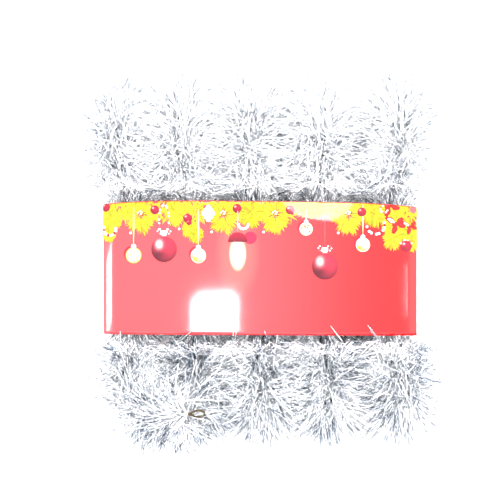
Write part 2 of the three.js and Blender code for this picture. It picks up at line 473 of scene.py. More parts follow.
def face_normal(tree, place, settings):
    """The card face's own normal: the gloss over the inks follows the card's crown and curl."""
    split = node(tree, "ShaderNodeSeparateXYZ")
    tree.links.new(place, split.inputs[0])
    x, y, _ = split.outputs
    lean_x = math_node(tree, "MULTIPLY", x, 2 * settings.crown / (BAND_WIDTH / 2 - BAND_CORNER) ** 2)
    start = BAND_Y + BAND_HEIGHT / 2 - CURL_REACH
    past_start = math_node(tree, "SUBTRACT", y, start)
    down = math_node(tree, "MAXIMUM", math_node(tree, "DIVIDE", past_start, CURL_REACH), 0)
    aside = math_node(tree, "DIVIDE", math_node(tree, "SUBTRACT", x, CURL_X), CURL_WIDTH)
    fade = math_node(tree, "EXPONENT", math_node(tree, "MULTIPLY", math_node(tree, "POWER", aside, 2), -1))
    slope = 2 * settings.curl / CURL_REACH
    lean_y = math_node(tree, "MULTIPLY", math_node(tree, "MULTIPLY", down, fade), slope)
    lean = node(tree, "ShaderNodeCombineXYZ")
    tree.links.new(lean_x, lean.inputs[0])
    tree.links.new(lean_y, lean.inputs[1])
    lean.inputs[2].default_value = 1
    normal = node(tree, "ShaderNodeVectorMath", operation="NORMALIZE")
    tree.links.new(lean.outputs[0], normal.inputs[0])
    return normal.outputs[0]


def glue_material():
    material, tree, shader = new_material("glue")
    colour = mix_rgb(tree, noise(tree, 120), (0.86, 0.82, 0.70), (0.72, 0.66, 0.52))
    tree.links.new(colour, shader.inputs["Base Color"])
    shader.inputs["Roughness"].default_value = 0.3
    return material


def floor_material():
    material, tree, shader = new_material("studio_floor")
    colour = mix_rgb(tree, noise(tree, 30), (0.93, 0.93, 0.93), (0.91, 0.91, 0.91))
    tree.links.new(colour, shader.inputs["Base Color"])
    shader.inputs["Roughness"].default_value = 0.9
    return material


# ---------------------------------------------------------------- settings

class GarlandSettings(bpy.types.PropertyGroup):
    strip_length: bpy.props.FloatProperty(
        name="Strip length", description="From the wire to a strip's tip", default=37 * MM, unit="LENGTH")
    strip_width: bpy.props.FloatProperty(
        name="Strip width", description="Across a film strip", default=0.6 * MM, unit="LENGTH")
    strips_per_metre: bpy.props.IntProperty(
        name="Strips per metre", description="How densely the film is twisted in", default=34500)
    # painted reflection and shade: shares of strips painted dark above and below the band
    painted_dark_above: bpy.props.FloatProperty(
        name="Dark above", description="Share of strips turned to the dark above the band",
        default=0.014, subtype="FACTOR")
    painted_dark_below: bpy.props.FloatProperty(
        name="Dark below", description="Share of strips turned to the dark below the band",
        default=0.10, subtype="FACTOR")
    ply_lay: bpy.props.FloatProperty(
        name="Wire lay", description="Length of one twist of the two wires", default=9 * MM, unit="LENGTH")
    seed: bpy.props.IntProperty(name="Seed", description="Start of the random draws", default=11)


class BandSettings(bpy.types.PropertyGroup):
    crown: bpy.props.FloatProperty(
        name="Crown", description="How far the front bulges in its middle", default=3 * MM, unit="LENGTH")
    ripple: bpy.props.FloatProperty(
        name="Ripple", description="Depth of the slow waves in the card", default=0.06 * MM, unit="LENGTH")
    curl: bpy.props.FloatProperty(
        name="Curl", description="How far the top edge bends back where it is loose",
        default=1.3 * MM, unit="LENGTH")
    seed: bpy.props.IntProperty(name="Seed", description="Start of the print's draws", default=5)


class StageSettings(bpy.types.PropertyGroup):
    distance: bpy.props.FloatProperty(
        name="Camera distance", description="From the lens to the hank's front", default=0.86, unit="LENGTH")
    lens: bpy.props.FloatProperty(
        name="Lens", description="Focal length", default=85, unit="CAMERA")
    camera_x: bpy.props.FloatProperty(
        name="Camera X", description="Sideways place of the camera", default=-7.5 * MM, unit="LENGTH")
    camera_y: bpy.props.FloatProperty(
        name="Camera Y", description="Lengthways place of the camera", default=4.5 * MM, unit="LENGTH")
    sky: bpy.props.FloatProperty(
        name="Sky", description="Strength of the light all round", default=3.8)
    softbox: bpy.props.FloatProperty(
        name="Softbox", description="Power of the large lamp beyond the hank's top", default=60, unit="POWER")
    flash: bpy.props.FloatProperty(
        name="Flash", description="Power of the small lamp that the band mirrors", default=1.6, unit="POWER")
    side_lamps: bpy.props.FloatProperty(
        name="Side lamps", description="Power of the lamps that the card's bends mirror",
        default=7, unit="POWER")


# ---------------------------------------------------------------- stage

TOP_ABOVE_MIDDLE = 24 * MM
FLASH_PLACE = (-0.107, -0.114, 1.22)
FLASH_SIZES = ((0.124, 0.080), (0.096, 0.100))
GLOSSY_BOUNCES = 10
DIFFUSE_BOUNCES = 8
ZENITH_STARTS, ZENITH_FULL = 0.93, 0.97
ZENITH_COLOUR = (0.50, 0.51, 0.53)
FLOOR_RADIUS = 8
FLOOR_GAP = 1 * MM


class GARLAND_OT_stage(bpy.types.Operator):
    """Camera over the hank, pale floor and soft light"""
    bl_idname = "garland.stage"
    bl_label = "Stage"

    def execute(self, context):
        settings = context.scene.garland_stage
        camera = bpy.data.cameras.new("camera")
        camera.lens = settings.lens
        view = bpy.data.objects.new("camera", camera)
        context.scene.collection.objects.link(view)
        height = MIDDLE_Z + TOP_ABOVE_MIDDLE + settings.distance
        view.location = (settings.camera_x, settings.camera_y, height)
        context.scene.camera = view
        context.scene.view_settings.view_transform = "Standard"
        context.scene.cycles.glossy_bounces = GLOSSY_BOUNCES
        context.scene.cycles.diffuse_bounces = DIFFUSE_BOUNCES
        self.floor()
        self.world(context, settings.sky)
        self.lamp("softbox", (0.2, 1.3, 1.2), (0.9, 0.9), settings.softbox)
        for size in FLASH_SIZES:
            self.lamp("flash", FLASH_PLACE, size, settings.flash, aimed=False)
        side = settings.side_lamps
        self.lamp("ceiling_lamp", (0.16, 0.30, 1.3), (0.28, 0.34), side * 0.85)
        self.lamp("left_window", (-0.83, -0.062, 0.94), (0.13, 0.6), side)
        self.lamp("right_window", (0.39, -0.060, 1.2), (0.007, 0.085), side / 120, aimed=False)
        return {"FINISHED"}

    def floor(self):
        bm = bmesh.new()
        bmesh.ops.create_circle(bm, cap_ends=True, segments=64, radius=FLOOR_RADIUS)
        bmesh.ops.translate(bm, verts=bm.verts, vec=(0, 0, -FLOOR_GAP))
        floor = finish_mesh("floor", bm, smooth=False)
        floor.data.materials.append(floor_material())

    def world(self, context, strength):
        world = bpy.data.worlds.new("studio")
        world.use_nodes = True
        tree = world.node_tree
        place = tree.nodes.new("ShaderNodeTexCoord")
        split = tree.nodes.new("ShaderNodeSeparateXYZ")
        ramp = tree.nodes.new("ShaderNodeValToRGB")
        ramp.color_ramp.elements[0].position = ZENITH_STARTS
        ramp.color_ramp.elements[0].color = (1, 1, 1, 1)
        ramp.color_ramp.elements[1].position = ZENITH_FULL
        ramp.color_ramp.elements[1].color = (*ZENITH_COLOUR, 1)
        tree.links.new(place.outputs["Generated"], split.inputs[0])
        tree.links.new(split.outputs["Z"], ramp.inputs["Fac"])
        tree.links.new(ramp.outputs["Color"], tree.nodes["Background"].inputs["Color"])
        tree.nodes["Background"].inputs["Strength"].default_value = strength
        context.scene.world = world

    def lamp(self, name, place, size, power, aimed=True):
        light = bpy.data.lights.new(name, "AREA")
        light.shape = "RECTANGLE"
        light.size, light.size_y = size
        light.energy = power
        lamp = bpy.data.objects.new(name, light)
        bpy.context.scene.collection.objects.link(lamp)
        lamp.location = place
        if aimed:
            aim = Vector((0, 0, MIDDLE_Z)) - Vector(place)
            lamp.rotation_euler = aim.to_track_quat("-Z", "Y").to_euler()


# ---------------------------------------------------------------- wire

def tube_object(name, lines, radius):
    """Closed tubes along open lines, as one mesh."""
    curve = bpy.data.curves.new(name, "CURVE")
    curve.dimensions = "3D"
    curve.bevel_depth = radius
    curve.bevel_resolution = 1
    curve.use_fill_caps = True
    for points in lines:
        spline = curve.splines.new("POLY")
        spline.points.add(len(points) - 1)
        flat = np.column_stack([points, np.ones(len(points))]).ravel()
        spline.points.foreach_set("co", flat.astype(np.float32))
    drawn = bpy.data.objects.new(name + "_line", curve)
    bpy.context.scene.collection.objects.link(drawn)
    bpy.context.view_layer.update()
    evaluated = drawn.evaluated_get(bpy.context.evaluated_depsgraph_get())
    mesh = bpy.data.meshes.new_from_object(evaluated)
    bpy.data.objects.remove(drawn)
    bm = bmesh.new()
    bm.from_mesh(mesh)
    bpy.data.meshes.remove(mesh)
    bmesh.ops.remove_doubles(bm, verts=bm.verts, dist=1e-7)
    bmesh.ops.recalc_face_normals(bm, faces=bm.faces)
    return finish_mesh(name, bm)


def twisted_pair(points, lay, ply_radius, steps_per_turn=8):
    """The lines of two wires twisted round a route."""
    total = line_length(points)
    count = max(int(total / lay * steps_per_turn), 8)
    distance = np.linspace(0, total, count)
    place, direction = along(points, distance)
    side = carried_side(direction)
    up = np.cross(direction, side)
    turn = 2 * math.pi * distance / lay
    offset = ply_radius * (np.cos(turn)[:, None] * side + np.sin(turn)[:, None] * up)
    return [place + offset, place - offset]


def carried_side(direction):
    """A side vector carried along a line without twisting about it."""
    side = np.zeros_like(direction)
    start = np.array([1.0, 0.0, 0.0])
    for k, forward in enumerate(direction):
        start = start - forward * start.dot(forward)
        if np.linalg.norm(start) < 1e-6:
            start = np.array([0.0, 0.0, 1.0]) - forward * forward[2]
        start = start / np.linalg.norm(start)
        side[k] = start
    return side


def ring_points(centre, radius, across, up, gap=0.12, count=40):
    angle = np.linspace(math.pi + gap, 3 * math.pi - gap, count)[:, None]
    return centre + radius * (np.cos(angle) * across + np.sin(angle) * up)


LOOP_STAND = math.radians(18)
LOOP_STRETCH = 1.25
LOOP_LAY = 4 * MM
NECK_TURNS = 2
NECK_LENGTH = 2.0 * MM
NECK_GAP = 0.2 * MM


class GARLAND_OT_wire(bpy.types.Operator):
    """Two wires twisted into one core, with a loop bent at each end"""
    bl_idname = "garland.wire"
    bl_label = "Core wire"

    def execute(self, context):
        settings = context.scene.garland
        material = wire_material()
        ply = WIRE_DIAMETER / 4
        route = wire_route()
        core = tube_object("core_wire_twist", twisted_pair(route, settings.ply_lay, ply), ply)
        tilt = EYE_SLOPE + LOOP_STAND
        slope = np.array([0, math.cos(tilt), math.sin(tilt)])
        right, down = np.array([1.0, 0, 0]), np.array([0, -1.0, 0])
        front = self.eye("wire_loop_front", front_eye_centre(), right, slope, LOOP_STRETCH)
        tucked = self.eye("wire_loop_tucked", tucked_eye_centre(), down, right, 1.0)
        loops = ((front, "wire_eye_front"), (tucked, "wire_eye_tucked"))
        for piece, replaced in ((core, "core_wire"), *loops):
            piece.data.materials.append(material)
            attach(piece, "hank")
            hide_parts(replaced)
        return {"FINISHED"}

    def eye(self, name, centre, across, up, stretch):
        """A loop of the twisted pair, closed by two turns of wire at its neck."""
        ply = EYE_WIRE_RADIUS / 2
        ring = ring_points(centre, EYE_RADIUS, across * stretch, up)
        lines = twisted_pair(ring, LOOP_LAY, ply)
        neck = centre - across * EYE_RADIUS * stretch
        turn = np.linspace(0, NECK_TURNS * 2 * math.pi, 32)[:, None]
        out = np.cross(across, up)
        reach = EYE_WIRE_RADIUS + NECK_GAP
        forward = across * (turn / turn.max() - 0.7) * NECK_LENGTH
        coil = neck + reach * (np.cos(turn) * up + np.sin(turn) * out) + forward
        lines.append(coil)
        return tube_object(name, lines, ply)


# ---------------------------------------------------------------- fringe

STRIP_TAPER = np.array([0.6, 1.0, 0.95, 0.5])
STATIONS = len(STRIP_TAPER)
STRIP_THICKNESS = 0.11


def strip_template():
    """A film strip: a flat three-sided closed blade, cut in three along its length."""
    bm = bmesh.new()
    ring = bmesh.ops.create_circle(bm, cap_ends=True, segments=3, radius=1)["verts"]
    flat = ((-0.5, 0.0), (0.5, 0.0), (0.0, STRIP_THICKNESS))
    for vert, (across, thick) in zip(ring, flat):
        vert.co = (across, thick, 0)
    top = list(bm.faces)
    for _ in range(STATIONS - 1):
        made = bmesh.ops.extrude_face_region(bm, geom=top)
        verts = [part for part in made["geom"] if isinstance(part, bmesh.types.BMVert)]
        bmesh.ops.translate(bm, verts=verts, vec=(0, 0, 1))
        bmesh.ops.delete(bm, geom=[face for face in top if face.is_valid and len(face.verts) == 3
                                   and face.calc_center_median().z > 0.01], context="FACES_ONLY")
        top = [part for part in made["geom"] if isinstance(part, bmesh.types.BMFace)]
    bmesh.ops.recalc_face_normals(bm, faces=bm.faces)
    return Template(bm)


BESIDE_HELD = 2 * MM
UNDER_CARD = 1.5 * MM
CORNER_REACH = 14 * MM
CORNER_DROP = 11 * MM
HELD_MARGIN = 1 * MM
PATH_MARGIN = 1.2 * MM
FRONT_STRIPS = 12 * MM
LEAN_LOW, LEAN_HIGH = 4.4 * MM, 15 * MM
EDGE_NEAR, EDGE_FAR = 1.5 * MM, 9 * MM
SPRING_BACK = 0.4


def hold_under_card(centre, y, in_waist):
    """Strips rooted in the waist lie inside the card, and flare out again past its path."""
    x = centre[..., 0]
    offset = centre[..., 2] - MIDDLE_Z
    half_width = WAIST_WIDTH / 2 - BESIDE_HELD
    past_path = np.abs(y) - WAIST_HALF - HELD_MARGIN
    corner = np.clip((np.abs(x) - (half_width - CORNER_REACH)) / CORNER_REACH, 0, 1)
    depth = WAIST_DEPTH / 2 - UNDER_CARD - CORNER_DROP * corner**2 + np.maximum(past_path, 0)
    pressed = MIDDLE_Z + np.clip(offset, -depth, depth)
    centre[..., 2] = np.where(in_waist, pressed, centre[..., 2])
    held = in_waist & (past_path < 0)
    centre[..., 0] = np.where(held, np.clip(x, -half_width, half_width), x)


def bend_back_from_band(centre, y, root, in_waist, rng):
    """Strips rooted past the band's path bend back where it ends.

    In front, a strip's outer lengths may lean over the print instead, as far as the edge at rest."""
    end = np.sign(root[:, 1] - BAND_Y)[:, None]
    path_end = WAIST_HALF + PATH_MARGIN
    over = ~in_waist & (y * end < path_end) & (centre[..., 2] - MIDDLE_Z > FRONT_STRIPS)
    over[:, :2] = False
    lifted = over.copy()
    lifted[:, :-1] |= over[:, 1:]
    lifted[:, 1:] |= over[:, :-1]
    card_front = MIDDLE_Z + BAND_DEPTH / 2
    level = card_front + rng.uniform(LEAN_LOW, LEAN_HIGH, (len(root), 1))
    level = level * (1 - 0.06 * rng.random(centre.shape[:2]))
    level = np.maximum(level, card_front + LEAN_LOW)
    centre[..., 2] = np.where(lifted, np.maximum(centre[..., 2], level), centre[..., 2])
    beside = np.abs(centre[..., 0]) > BAND_WIDTH / 2 + BESIDE_HELD
    beside[:, 1:] &= beside[:, :-1].copy()
    at_edge = BAND_HEIGHT / 2 + rng.uniform(EDGE_NEAR, EDGE_FAR, (len(root), 1))
    nearest = np.where(over | beside, at_edge, path_end)
    short = nearest - y * end
    bent = BAND_Y + end * (nearest + SPRING_BACK * short)
    centre[..., 1] = np.where(~in_waist & (short > 0), bent, centre[..., 1])


def keep_clear_of_band(centre, root, rng):
    """Strips keep out of the card, and nearly all of them out of the way that it slides."""
    y = centre[..., 1] - BAND_Y
    in_waist = (np.abs(root[:, 1] - BAND_Y) < WAIST_HALF)[:, None]
    hold_under_card(centre, y, in_waist)
    bend_back_from_band(centre, y, root, in_waist, rng)
    return centre


FREE_DEPTH = 38 * MM
PRESSED_SHARE = 0.38
LOWEST = 0.6 * MM
REACH_PAST_BOX = (12 * MM, 8 * MM)


def press_into_hank(centre):
    """The fringe is pressed flat in front and by the surface that it lies on."""
    offset = centre[..., 2] - MIDDLE_Z
    past = np.maximum(np.abs(offset) - FREE_DEPTH, 0)
    pressed = np.minimum(np.abs(offset), FREE_DEPTH) + past * PRESSED_SHARE
    centre[..., 2] = MIDDLE_Z + np.sign(offset) * pressed
    centre[..., 2] = np.clip(centre[..., 2], LOWEST, None)
    for axis, past_box in enumerate(REACH_PAST_BOX):
        reach = CAD_BOX[1][axis] + past_box
        centre[..., axis] = np.clip(centre[..., axis], -reach, reach)
    return centre


LOOP_ROOM = 6.5 * MM
UNDER_LOOP = 4 * MM


def keep_clear_of_loop(centre):
    """No strip lies over the loop at the wire's front end."""
    eye = front_eye_centre()
    step = np.diff(centre, axis=1)
    to_eye = eye[:2] - centre[:, :-1, :2]
    along_step = (to_eye * step[..., :2]).sum(-1) / np.maximum((step[..., :2] ** 2).sum(-1), 1e-12)
    nearest = centre[:, :-1] + np.clip(along_step, 0, 1)[..., None] * step
    aside = np.linalg.norm(nearest[..., :2] - eye[:2], axis=-1)
    too_high = np.maximum(nearest[..., 2] - (eye[2] - UNDER_LOOP), 0)
    drop = np.where(aside < LOOP_ROOM, too_high, 0)
    centre[:, 1:, 2] -= drop
    centre[:, :-1, 2] -= drop
    centre[..., 2] = np.maximum(centre[..., 2], LOWEST)
    return centre


# How a strip leaves the wire: its sweep away from the band in degrees, and what varies it
NEAR_SWEEP = (-52, 56)
FAR_SWEEP, FAR_SPREAD = 26, 21
WAIST_SWEEP, WAIST_SPREAD = 57, 15
WAIST_LIMITS = (25, 84)
HEADING_SPREAD = 0.28
FOLD_SPREAD = 0.62
BEND_SPREAD = 0.05
LENGTH_SPREAD = 0.10
LONG_SHARE, LONG_FACTOR = 0.02, 1.22


def strip_lines(points, settings, rng):
    """The middle lines of a stretch's strips: n x stations x 3."""
    total = line_length(points)
    count = int(total * settings.strips_per_metre)
    root, direction = along(points, rng.uniform(0, total, count))
    side = unit(np.cross(direction, np.array([0.03, 0.02, 1.0])))
    up = np.cross(side, direction)
    angle = rng.uniform(0, 2 * math.pi, count)[:, None]
    radial = np.cos(angle) * side + np.sin(angle) * up
    away = np.sign(root[:, 1] - BAND_Y)[:, None] * np.array([0, 1.0, 0])
    far = smoothstep(np.abs(root[:, 1] - BAND_Y), WAIST_HALF, TURN_Y)
    near_sweep = np.radians(rng.uniform(*NEAR_SWEEP, count))
    far_sweep = np.radians(rng.normal(FAR_SWEEP, FAR_SPREAD, count))
    sweep = near_sweep * (1 - far) + far_sweep * far
    in_waist = np.abs(root[:, 1] - BAND_Y) < WAIST_HALF
    pressed = np.radians(np.clip(rng.normal(WAIST_SWEEP, WAIST_SPREAD, count), *WAIST_LIMITS))
    sweep = np.where(in_waist, pressed, sweep)[:, None]
    heading = np.cos(sweep) * radial + np.sin(sweep) * away
    held = in_waist[:, None]
    heading = unit(heading + rng.normal(0, HEADING_SPREAD, (count, 3)) * (1 - 0.8 * held))
    length = settings.strip_length * rng.normal(1, LENGTH_SPREAD, count)
    length = np.where(rng.random(count) < LONG_SHARE, length * LONG_FACTOR, length)[:, None]
    folded = unit(heading + rng.normal(0, FOLD_SPREAD, (count, 3)) * (1 - 0.75 * held))
    bend = rng.normal(0, BEND_SPREAD, (count, 3)) * length
    share = np.linspace(0, 1, STATIONS)
    fold = share[1]
    lines = [root + length * (heading * min(u, fold) + folded * max(u - fold, 0)) + bend * u * u
             for u in share]
    centre = press_into_hank(np.stack(lines, axis=1))
    return keep_clear_of_band(centre, root, rng)


OVER_EDGE_RISE = 23 * MM


def strips_over_edge(rng, count=15):
    """A few front strips that spring over the band's lower edge and lie in front of the card."""
    index = rng.integers(0, RUN_COUNT, count)
    y = BAND_Y - WAIST_HALF - rng.uniform(2, 9, count) * MM
    x = np.array([float(middle_x(FRONT, i, v)) for i, v in zip(index, y)])
    x = x + rng.normal(0, 12, count) * MM
    root = np.column_stack([x, y, np.full(count, float(core_z(FRONT, BAND_Y + WAIST_HALF)) + 2 * MM)])
    aside = rng.normal(0, 9, count) * MM
    over = np.column_stack([aside, rng.uniform(13, 21, count) * MM, np.zeros(count)])
    rise = OVER_EDGE_RISE * np.array([0, 0, 1.0])
    share = np.linspace(0, 1, STATIONS)
    return np.stack([root + rise * (1 - (1 - u) ** 2) + over * u * u for u in share], axis=1)


TAIL_COVERED = 46 * MM


def strips_over_tail(points, rng, count=260):
    """Strips that lie across the wire's tail, so that only its loop shows."""
    root, _ = along(points, rng.uniform(0.5 * MM, TAIL_COVERED, count))
    angle = math.pi + rng.uniform(-1.25, 1.25, count)
    heading = np.column_stack([np.cos(angle), np.sin(angle), np.zeros(count)])
    length = rng.uniform(14, 28, count)[:, None] * MM
    left_of_loop = smoothstep(EYE_SHIFT - root[:, :1], 11 * MM, 21 * MM)
    back = rng.uniform(0.0, 0.35, count)[:, None] * left_of_loop
    rise = (rng.uniform(1.6, 3.6, count)[:, None] * MM) * np.array([0, 0, 1.0])
    share = np.linspace(0, 1, STATIONS)
    return np.stack([root + rise * (1 - (u - 0.3) ** 2) + heading * length * (u - back)
                     for u in share], axis=1)


def strip_points(template, centre, width, rng):
    """Places a copy of the strip along each middle line, slowly turning about it."""
    count = centre.shape[0]
    forward = unit(np.gradient(centre, axis=1))
    start = rng.normal(0, 1, (count, 3))[:, None, :]
    across = unit(np.cross(forward, start))
    over = np.cross(forward, across)
    share = np.linspace(0, 1, STATIONS)[None, :]
    turn = (rng.uniform(-0.9, 0.9, count)[:, None] * share)[..., None]
    flat = np.cos(turn) * across + np.sin(turn) * over
    thick = np.cross(forward, flat)
    taper = STRIP_TAPER[None, :, None]
    size = width[:, None, None] * taper
    station = np.rint(template.points[:, 2]).astype(int)
    u = template.points[:, 0][None, :, None]
    v = template.points[:, 1][None, :, None]
    return (centre[:, station] + flat[:, station] * u * size[:, station]
            + thick[:, station] * v * size[:, station])


# Painted reflection and shade on the film: where the painted dark lengths gather, and what each kind of
# length shows
OUTER_PAINTED_DARK = 0.12
BAND_PAINTED_SHADE = 0.07
BUNCH_STRENGTH = 0.6
LIGHT_TONES = (0.84, 1.0)
PAINTED_HALF_DARK_RANGE = (0.3, 0.7)
PAINTED_DARK_RANGE = (0.0, 0.3)


def painted_strip_light(template, centre, settings, rng):
    """Painted light for each face of each strip: 0 paints it dark, as painted reflection of the room and
    painted shade; 1 leaves it light.

    A strip turns as it goes, so each of its lengths is painted dark or light by itself. Lengths below the
    band and near its edges get more painted shade; the outermost lengths stand clear of the others and get
    more painted reflection of the dark room."""
    middle = (centre[:, 1:] + centre[:, :-1]) / 2
    # painted shade: more dark lengths below the band and near its edges
    below = smoothstep(-middle[..., 1], 45 * MM, 80 * MM)
    dark = settings.painted_dark_above * (1 - below) + settings.painted_dark_below * below
    dark = dark + BAND_PAINTED_SHADE * (1 - smoothstep(np.abs(middle[..., 1] - BAND_Y), 52 * MM, 70 * MM))
    # painted shade gathered in slow bunches across the fringe
    bunch = np.sin(middle[..., 0] / (9 * MM) + 1.1) * np.sin(middle[..., 1] / (13 * MM) + 0.6)
    dark = dark * (1 + BUNCH_STRENGTH * bunch)
    # painted dark reflection on the outermost lengths
    beyond_x = smoothstep(np.abs(middle[..., 0]), HANK_WIDTH / 2 - 30 * MM, HANK_WIDTH / 2 - 8 * MM)
    beyond_y = smoothstep(np.abs(middle[..., 1]), HANK_HEIGHT / 2 - 28 * MM, HANK_HEIGHT / 2)
    dark = dark + OUTER_PAINTED_DARK * np.maximum(beyond_x, beyond_y)
    draw = rng.random(dark.shape)
    painted_light = rng.uniform(*LIGHT_TONES, dark.shape)
    painted_light = np.where(draw < dark * 2, rng.uniform(*PAINTED_HALF_DARK_RANGE, dark.shape), painted_light)
    painted_light = np.where(draw < dark, rng.uniform(*PAINTED_DARK_RANGE, dark.shape), painted_light)
    heights = [template.points[face, 2].mean() for face in template.faces]
    place = np.clip(np.floor(heights), 0, STATIONS - 2).astype(int)
    return painted_light[:, place]


class GARLAND_OT_fringe(bpy.types.Operator):
    """Film strips along every run and turn of the core"""
    bl_idname = "garland.fringe"
    bl_label = "Fringe"

    def execute(self, context):
        settings = context.scene.garland
        material = film_material()
        template = strip_template()
        for number, (replaced, points) in enumerate(stretches()):
            rng = np.random.default_rng(settings.seed + number)
            centre = strip_lines(points, settings, rng)
            if replaced == "fringe_front_run_1":
                centre = np.concatenate([centre, strips_over_tail(points, rng)])
            if replaced == "fringe_front_run_2":
                centre = np.concatenate([centre, strips_over_edge(rng)])
            centre = keep_clear_of_loop(centre)
            painted_light = painted_strip_light(template, centre, settings, rng)
            width = settings.strip_width * np.clip(rng.normal(1, 0.2, len(centre)), 0.5, 1.6)
            width = np.where(painted_light.min(axis=1) < PAINTED_HALF_DARK_RANGE[1], width * 0.8, width)
            points_of_copies = strip_points(template, centre, width, rng)
            name = replaced.replace("fringe", "tinsel")
            piece = mesh_of_copies(name, [(template, points_of_copies)])
            # painted light: the face attribute that paints reflection and shade into the film's colour
            shade = piece.data.attributes.new("painted_light", "FLOAT", "FACE")
            shade.data.foreach_set("value", painted_light.astype(np.float32).ravel())
            piece.data.materials.append(material)
            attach(piece, "hank")
            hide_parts(replaced)
        return {"FINISHED"}


# ---------------------------------------------------------------- band

CURL_REACH = 17 * MM
CURL_X = 43 * MM
CURL_WIDTH = 22 * MM


def front_z(x, y, settings):
    """The card's printed face: crowned, with slow waves over the fringe behind it."""
    crown = settings.crown * (1 - (x / (BAND_WIDTH / 2 - BAND_CORNER)) ** 2)
    wave = np.sin(x / (21 * MM) + 1.3) * np.sin(y / (26 * MM) + 0.4)
    fade = np.clip(1 - np.abs(x) / (BAND_WIDTH / 2 - BAND_CORNER), 0, 1) ** 0.5
    curl = np.clip((y - (BAND_Y + BAND_HEIGHT / 2 - CURL_REACH)) / CURL_REACH, 0, 1.1) ** 2
    curl = curl * np.exp(-(((x - CURL_X) / CURL_WIDTH) ** 2))
    flat = MIDDLE_Z + BAND_DEPTH / 2 + np.maximum(crown, 0)
    return flat + settings.ripple * wave * fade - settings.curl * curl


def top_edge(x):
    """The card's upper edge, cut a little low at both ends."""
    share = np.clip(x / PANEL_HALF, -1.1, 1.1)
    return BAND_Y + BAND_HEIGHT / 2 - (1.8 + 3.0 * share**4 + 1.2 * share) * MM


def bottom_edge(x):
    share = np.clip(x / PANEL_HALF, -1.1, 1.1)
    return BAND_Y - BAND_HEIGHT / 2 + (0.2 - 0.5 * share) * MM


def corner_arc(centre_x, centre_z, start, stop, count=15):
    angle = np.linspace(start, stop, count)
    return [(centre_x + BAND_CORNER * math.cos(a), centre_z + BAND_CORNER * math.sin(a)) for a in angle]


def sleeve_line():
    """The card's outer face in section, from its inner end, round the hank, to the lapped end."""
    edge = BAND_WIDTH / 2 - BAND_CORNER
    rise = BAND_DEPTH / 2 - BAND_CORNER
    lap = OVERLAP_WIDTH / 2
    step = CARD_THICKNESS + GLUE_THICKNESS + 2 * CLEARANCE
    back = -BAND_DEPTH / 2
    quarter = math.pi / 2
    line = [(lap, back), (0, back), (-edge / 2, back)]
    line += corner_arc(-edge, -rise, -quarter, -2 * quarter)
    line += corner_arc(-edge, rise, 2 * quarter, quarter)
    line += [(x, BAND_DEPTH / 2) for x in np.linspace(-edge, edge, 90)[1:-1]]
    line += corner_arc(edge, rise, quarter, 0)
    line += corner_arc(edge, -rise, 0, -quarter)
    line += [(edge / 2, back), (lap + JOG_LENGTH, back)]
    line += [(lap + FIT_CLEARANCE, back - step), (0, back - step), (-lap, back - step)]
    return [(x, MIDDLE_Z + z) for x, z in line]


CARD_ROWS = 40


def card_sleeve(settings):
    """The strip of card: an edge chain drawn up the band's height, then given its thickness."""
    bm = bmesh.new()
    chain = [bm.verts.new((x, 0, z)) for x, z in sleeve_line()]
    edges = [bm.edges.new(pair) for pair in zip(chain, chain[1:])]
    for _ in range(CARD_ROWS):
        made = bmesh.ops.extrude_edge_only(bm, edges=edges)
        verts = [part for part in made["geom"] if isinstance(part, bmesh.types.BMVert)]
        edges = [part for part in made["geom"] if isinstance(part, bmesh.types.BMEdge)]
        bmesh.ops.translate(bm, verts=verts, vec=(0, 1, 0))
    for vert in bm.verts:
        x, share, z = vert.co.x, vert.co.y / CARD_ROWS, vert.co.z
        low, high = float(bottom_edge(x)), float(top_edge(x))
        y = low + (high - low) * share
        if z > MIDDLE_Z + BAND_DEPTH / 2 - 1e-6:
            z = float(front_z(x, y, settings))
        vert.co = (x, y, z)
    bmesh.ops.recalc_face_normals(bm, faces=bm.faces)
    front = max(bm.faces, key=lambda face: face.calc_center_median().z)
    if front.normal.z < 0:
        bmesh.ops.reverse_faces(bm, faces=bm.faces)
    sleeve = finish_mesh("printed_card_sleeve", bm)
    wall = sleeve.modifiers.new("card", "SOLIDIFY")
    wall.thickness = CARD_THICKNESS
    wall.offset = -1
    return sleeve


class GARLAND_OT_band(bpy.types.Operator):
    """Card sleeve folded round the hank, with its glued lap"""
    bl_idname = "garland.band"
    bl_label = "Card band"

    def execute(self, context):
        settings = context.scene.garland_band
        sleeve = card_sleeve(settings)
        sleeve.data.materials.append(card_material())
        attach(sleeve, "band")
        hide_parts("band_sleeve")
        around = sum(math.dist(a, b) for a, b in zip(sleeve_line(), sleeve_line()[1:]))
        self.glue()
        return {"FINISHED"}

    def glue(self):
        """The bead of glue squeezed flat in the lap, with rounded ends."""
        bm = bmesh.new()
        bmesh.ops.create_cube(bm, size=1)
        size = (OVERLAP_WIDTH - 2 * MM, BAND_HEIGHT - 12 * MM, GLUE_THICKNESS)
        bmesh.ops.scale(bm, verts=bm.verts, vec=size)
        upright = [edge for edge in bm.edges if abs((edge.verts[0].co - edge.verts[1].co).z) > 1e-5]
        bmesh.ops.bevel(bm, geom=upright, offset=5 * MM, offset_type="OFFSET", segments=6,
                        profile=0.5, affect="EDGES", material=-1)
        z = MIDDLE_Z - BAND_DEPTH / 2 - CLEARANCE - GLUE_THICKNESS / 2
        bmesh.ops.translate(bm, verts=bm.verts, vec=(0, BAND_Y, z))
        strip = finish_mesh("lap_glue", bm, smooth=False)
        strip.data.materials.append(glue_material())
        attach(strip, "band")
        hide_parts("band_glue_strip")


# ---------------------------------------------------------------- print on the band

